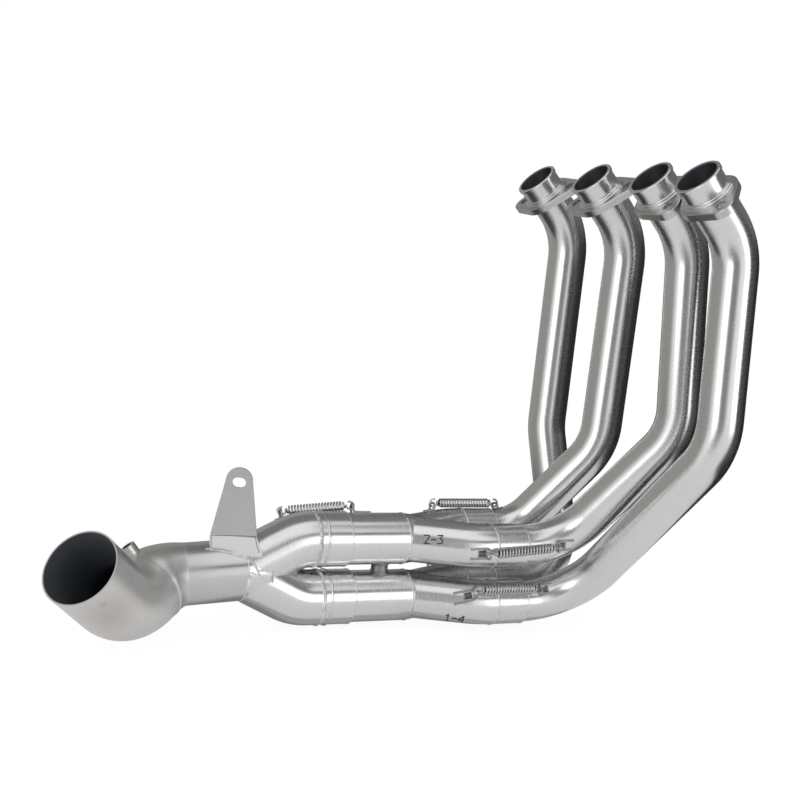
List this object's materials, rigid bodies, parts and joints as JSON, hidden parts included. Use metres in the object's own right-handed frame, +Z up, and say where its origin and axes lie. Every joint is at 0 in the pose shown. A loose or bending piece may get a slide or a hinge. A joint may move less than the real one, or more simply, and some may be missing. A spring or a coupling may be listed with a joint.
{
  "type": "motorcycle exhaust header",
  "caption": "Four-into-two-into-one exhaust header for an inline four: bent primaries with port collars and loose flanges, sprung slip joints, stacked merges, elbow outlet.",
  "frame": {"origin": "middle of the straight row of the four port mouths", "axes": "+X forward, away from the engine, +Y to the left along the row of ports, +Z up; the secondary tubes run along X"},
  "size_m": [0.5788, 0.3416, 0.4588],
  "materials": {
    "brushed_tube": "brushed along the tube",
    "turned_steel": "turned, fine rings",
    "machined_plate": "machined",
    "satin_casting": "satin",
    "satin_elbow": "satin",
    "bracket_sheet": "satin sheet",
    "spring_wire": "bright wire"
  },
  "bodies": {
    "root": {"primary_tube_1": "brushed_tube", "port_collar_1": "turned_steel", "port_flange_1": "machined_plate", "slip_sleeve_1": "brushed_tube", "primary_tube_2": "brushed_tube", "port_collar_2": "turned_steel", "port_flange_2": "machined_plate", "slip_sleeve_2": "brushed_tube", "primary_tube_3": "brushed_tube", "port_collar_3": "turned_steel", "port_flange_3": "machined_plate", "slip_sleeve_3": "brushed_tube", "primary_tube_4": "brushed_tube", "port_collar_4": "turned_steel", "port_flange_4": "machined_plate", "slip_sleeve_4": "brushed_tube", "merge_2_3": "brushed_tube", "merge_1_4": "brushed_tube", "secondary_tube_upper": "brushed_tube", "secondary_tube_lower": "brushed_tube", "cross_tube": "satin_casting", "collector_sleeve_upper": "brushed_tube", "collector_sleeve_lower": "brushed_tube", "collector_body": "brushed_tube", "outlet_tube": "brushed_tube", "outlet_elbow": "satin_elbow", "sensor_bung": "turned_steel", "mounting_bracket": "bracket_sheet", "joint_spring_1": "spring_wire", "merge_hook_1": "spring_wire", "primary_hook_1": "spring_wire", "joint_spring_2": "spring_wire", "merge_hook_2": "spring_wire", "primary_hook_2": "spring_wire", "joint_spring_3": "spring_wire", "merge_hook_3": "spring_wire", "primary_hook_3": "spring_wire", "joint_spring_4": "spring_wire", "merge_hook_4": "spring_wire", "primary_hook_4": "spring_wire", "collector_spring_upper": "spring_wire", "collector_hook_upper": "spring_wire", "secondary_hook_upper": "spring_wire", "collector_spring_lower": "spring_wire", "collector_hook_lower": "spring_wire", "secondary_hook_lower": "spring_wire"}
  },
  "joints": []
}
